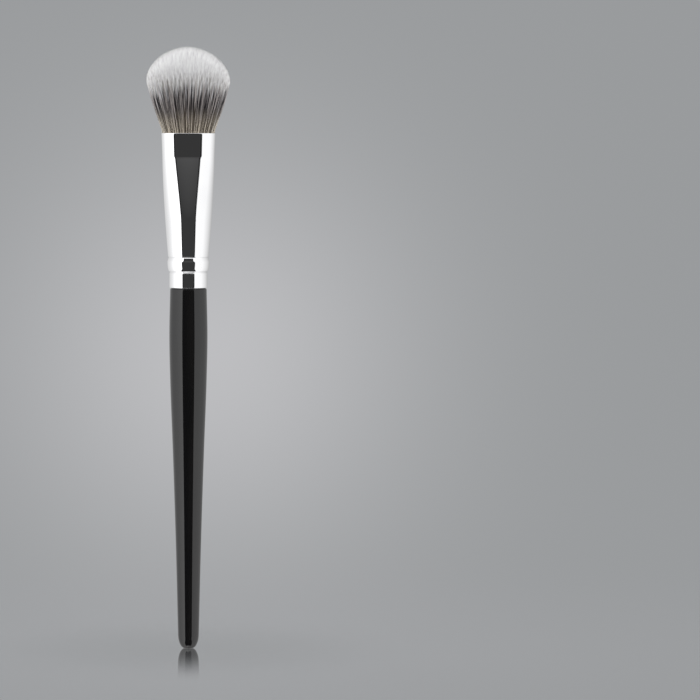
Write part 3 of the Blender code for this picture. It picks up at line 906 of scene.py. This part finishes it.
def makeThreadLook():
    material, nodes, shader = newMaterial("waxedThread")
    feed(shader, "Roughness", thread["roughness"])
    plies = nodes.new("ShaderNodeTexWave")
    plies.bands_direction = "DIAGONAL"
    feed(plies, "Scale", thread["plyScale"])
    feed(plies, "Distortion", thread["plyDistortion"])
    feed(plies, "Vector", objectPlace(nodes))
    colour = blendColours(nodes, plies.outputs["Fac"], *thread["plies"])
    feed(shader, "Base Color", colour)
    feed(shader, "Normal", bumpFrom(nodes, plies.outputs["Fac"], *thread["bump"]))
    return material


def dressHiddenPieces():
    looks = {
        "root_thread": makeThreadLook(),
        "root_resin": makeResinLook("amberResin", *castResin["colours"]),
        "handle_glue": makeResinLook("setGlue", *glue["colours"]),
    }
    for node, look in looks.items():
        solid = bpy.data.objects[node]
        for slot in solid.material_slots:
            slot.material = look


# Studio: light from all round with a dark card before the brush, a backdrop with a glow, a gloss floor

studio = {
    "panels": {                   # degrees from the front, negative to the left: radiance
        -180: 0.50, -172: 0.66, -155: 0.88, -133: 0.97, -110: 1.15, -80: 1.60, -40: 2.15, 0: 1.60,
        40: 1.35, 85: 1.32, 105: 1.12, 125: 0.93, 146: 0.72, 168: 0.56, 180: 0.50,
    },
    "cardWidths": {               # sine of the height: half the card's width in degrees
        -1.0: 58, -0.71: 54, -0.42: 38, -0.30: 36.5, -0.19: 37, -0.03: 37.4, 0.18: 35, 0.40: 31,
        0.60: 28, 1.0: 28,
    },
    "cardSoft": (-1.2, 0.8),      # degrees inside the card's side over which it sets in
    "cardEdge": (4.0, 5.6),       # degrees inside where its darker edge ends
    "edgeShade": 0.22,
    "cardTop": (0.60, 0.72),      # sines of height, like the three that follow
    "cardFoot": (-0.93, -0.87),
    "cardGreys": {-1.0: 0.048, 0.08: 0.048, 0.34: 0.112, 0.37: 0.112, 0.43: 0.052, 1.0: 0.052},
    "skyBetween": (0.62, 0.80),
    "overhead": 1.9,
    "fills": {"frontFill": (1.15, (58, 0, 6)), "backFill": (1.15, (-42, 0, 0))},  # strength, turns
    "fillSpread": 70,             # degrees, like the lamps' turns
    "rimGrey": (0.319, 0.328, 0.337),
    "glowGrey": (0.509, 0.511, 0.526),
    "glowRadius": 208,            # pixels
    "glowMiddle": (210, 349),
    "glowFall": 1.86,
    "backdropDistance": 1.8,      # metres behind the brush, and metres for the lengths that follow
    "backdropHalf": 0.31,
    "floorRadius": 0.34,
    "floorDrop": 0.00002,         # below the tip of the handle
    "floorAround": 96,
    "floorRings": 10,
    "floorGrey": (0.241, 0.246, 0.253),
    "floorShare": 0.5,
    "floorFade": (0.95, 2.0),     # share of the radius where it ends, and the power of its fading
    "mirror": (0.012, 0.076, 0.88),  # distances from the tip between which the gloss fades, and its share
    "mirrorGrey": (0.97, 0.97, 0.97),
}

view = {
    "pixels": 700,
    "axisPixel": 188.4,           # the brush's axis, across the picture
    "buttPixel": 649.5,           # the tip of the handle, down the picture
    "millimetresPerPixel": 0.3164,
    "lens": 200.0,
    "sensor": 36.0,
    "clip": (0.01, 20),
    "elevation": 3.2,             # degrees that the eye stands above the middle of the picture
    "turn": -2.2,                 # degrees that it stands to the right of the brush's front
}


def setCamera():
    # Before the brush's broad side, looking at the middle of the picture, which lies to the right of
    # the brush, and rolled by the hair's breadth that keeps the brush upright in the picture.
    pixel = view["millimetresPerPixel"] * mm
    distance = view["lens"] / view["sensor"] * view["pixels"] * pixel
    tilt, turn = math.radians(view["elevation"]), math.radians(view["turn"])
    rightward = Vector((math.cos(turn), math.sin(turn), 0))
    target = (view["pixels"] / 2 - view["axisPixel"]) * pixel * rightward
    target.z = (view["buttPixel"] - view["pixels"] / 2) * pixel
    eye = math.cos(tilt) * distance * Vector((math.sin(turn), -math.cos(turn), 0))
    eye.z = target.z + math.sin(tilt) * distance
    forward = (target - eye).normalized()
    up = rightward.cross(forward).normalized()
    camera = bpy.data.objects.new("camera", bpy.data.cameras.new("camera"))
    camera.data.lens = view["lens"]
    camera.data.sensor_width = view["sensor"]
    camera.data.clip_start, camera.data.clip_end = view["clip"]
    camera.location = eye
    camera.rotation_euler = Matrix((forward.cross(up), up, -forward)).transposed().to_euler()
    bpy.context.scene.collection.objects.link(camera)
    bpy.context.scene.camera = camera
    return eye, target


def makeWorld():
    # Radiance by direction: panels all round, a dark card with flared sides before the brush, and an
    # even sky. The camera itself, and the mirror of the floor, see plain grey.
    world = bpy.data.worlds.new("studioRound")
    bpy.context.scene.world = world
    world.use_nodes = True
    nodes = world.node_tree.nodes
    nodes.clear()
    place = nodes.new("ShaderNodeTexCoord")
    split = nodes.new("ShaderNodeSeparateXYZ")
    feed(split, 0, place.outputs["Generated"])
    up = split.outputs["Z"]
    backward = mathNode(nodes, "MULTIPLY", split.outputs["Y"], -1.0)
    azimuth = mathNode(nodes, "ARCTAN2", split.outputs["X"], backward)
    azimuth = mathNode(nodes, "SUBTRACT", azimuth, math.radians(view["turn"]))
    degrees = mathNode(nodes, "MULTIPLY", azimuth, 180 / math.pi)
    panels = lookUp(nodes, degrees, studio["panels"])
    away = mathNode(nodes, "ABSOLUTE", degrees)
    inside = mathNode(nodes, "SUBTRACT", lookUp(nodes, up, studio["cardWidths"]), away)
    card = spread(nodes, inside, *studio["cardSoft"], 0.0, 1.0)
    top = spread(nodes, up, *studio["cardTop"], 1.0, 0.0, smooth=True)
    foot = spread(nodes, up, *studio["cardFoot"], 0.0, 1.0, smooth=True)
    card = mathNode(nodes, "MULTIPLY", card, mathNode(nodes, "MULTIPLY", top, foot))
    grey = lookUp(nodes, up, studio["cardGreys"])
    edge = spread(nodes, inside, *studio["cardEdge"], studio["edgeShade"], 1.0)
    grey = mathNode(nodes, "MULTIPLY", grey, edge)
    high = spread(nodes, up, *studio["skyBetween"], 0.0, 1.0, smooth=True)
    sky = mathNode(nodes, "MULTIPLY", high, studio["overhead"])
    low = mathNode(nodes, "SUBTRACT", 1.0, high)
    around = mathNode(nodes, "MULTIPLY_ADD", panels, low, sky)
    shown = mathNode(nodes, "MULTIPLY", around, mathNode(nodes, "SUBTRACT", 1.0, card))
    radiance = mathNode(nodes, "MULTIPLY_ADD", grey, card, shown)
    lit = nodes.new("ShaderNodeBackground")
    feed(lit, "Strength", radiance)
    plain = plainShader(nodes, "Background", studio["rimGrey"])
    seen = nodes.new("ShaderNodeLightPath")
    direct = mathNode(nodes, "MAXIMUM", seen.outputs["Is Camera Ray"], seen.outputs["Is Singular Ray"])
    output = nodes.new("ShaderNodeOutputWorld")
    feed(output, "Surface", mixShaders(nodes, direct, lit.outputs[0], plain))


def makeFills():
    # Broad soft lamps from over the camera and from behind, which light the hair and leave no mark in
    # the gloss.
    for name, (energy, turns) in studio["fills"].items():
        lamp = bpy.data.lights.new(name, "SUN")
        lamp.energy = energy
        lamp.angle = math.radians(studio["fillSpread"])
        holder = bpy.data.objects.new(name, lamp)
        holder.rotation_euler = [math.radians(turn) for turn in turns]
        holder.visible_glossy = False
        bpy.context.scene.collection.objects.link(holder)


def makeBackdrop(eye, target):
    # A sheet far behind the brush that only shows a soft glow, where the brush stands, and fades out
    # into the plain grey round it.
    pixel = view["millimetresPerPixel"] * mm
    across = (studio["glowMiddle"][0] - view["axisPixel"]) * pixel
    up = (view["buttPixel"] - studio["glowMiddle"][1]) * pixel
    scale = (studio["backdropDistance"] - eye.y) / -eye.y
    middle = (eye.x + (across - eye.x) * scale, eye.z + (up - eye.z) * scale)
    half = studio["backdropHalf"]
    corners = np.array([(-half, 0, -half), (half, 0, -half), (half, 0, half), (-half, 0, half)])
    corners += np.array(eye + (target - eye) * scale)
    mesh = meshFromFaces("backdrop", corners, np.array([[0, 1, 2, 3]]))
    sheet = bpy.data.objects.new("backdrop", mesh)
    bpy.context.scene.collection.objects.link(sheet)
    material, nodes, output = emptyMaterial("backdropGlow")
    centre = nodes.new("ShaderNodeMapping")
    feed(centre, "Location", (-middle[0], -studio["backdropDistance"], -middle[1]))
    feed(centre, "Vector", objectPlace(nodes))
    far = distanceFrom(nodes, centre.outputs[0])
    share = mathNode(nodes, "DIVIDE", far, studio["glowRadius"] * pixel * scale)
    share = mathNode(nodes, "POWER", share, studio["glowFall"])
    share = mathNode(nodes, "EXPONENT", mathNode(nodes, "MULTIPLY", share, -1.0))
    clear = plainShader(nodes, "BsdfTransparent", (1, 1, 1))
    glow = plainShader(nodes, "Emission", studio["glowGrey"])
    feed(output, "Surface", mixShaders(nodes, share, clear, glow))
    mesh.materials.append(material)
    for ray in ("diffuse", "volume_scatter", "shadow"):
        setattr(sheet, "visible_" + ray, False)


def makeFloor():
    # A disc of gloss floor that fades out, so that the backdrop runs on beyond it without an edge.
    around = np.linspace(2 * np.pi, 0, studio["floorAround"], endpoint=False)
    out = np.linspace(1 / studio["floorRings"], 1, studio["floorRings"])[:, None] * studio["floorRadius"]
    level = 0 * out * around - studio["floorDrop"]
    points = np.stack([out * np.cos(around), out * np.sin(around), level], axis=-1)
    mesh = surfaceFromGrid("glossFloor", points, closeColumns=True, capFirst=True)
    floor = bpy.data.objects.new("glossFloor", mesh)
    bpy.context.scene.collection.objects.link(floor)
    material, nodes, output = emptyMaterial("glossFloor")
    far = distanceFrom(nodes, objectPlace(nodes))
    end, fall = studio["floorFade"]
    near = spread(nodes, far, 0.0, studio["floorRadius"] * end, 1.0, 0.0)
    near = mathNode(nodes, "POWER", near, fall)
    near = mathNode(nodes, "MULTIPLY", near, studio["floorShare"])
    glossShare = spread(nodes, far, *studio["mirror"], 0.0, smooth=True)
    clear = plainShader(nodes, "BsdfTransparent", (1, 1, 1))
    matt = plainShader(nodes, "BsdfDiffuse", studio["floorGrey"])
    gloss = nodes.new("ShaderNodeBsdfGlossy")
    feed(gloss, "Color", studio["mirrorGrey"])
    feed(gloss, "Roughness", 0.0)
    shade = mixShaders(nodes, near, clear, matt)
    feed(output, "Surface", mixShaders(nodes, glossShare, shade, gloss.outputs[0]))
    mesh.materials.append(material)
    floor.visible_glossy = False


bpy.context.scene.view_settings.view_transform = "Standard"
eye, target = setCamera()
makeWorld()
makeFills()
makeBackdrop(eye, target)
makeFloor()
print("studio: camera at", [round(value, 4) for value in eye])
makeHandle()
makeFerrule()
makeRoot()
makeTuft()
dressHiddenPieces()
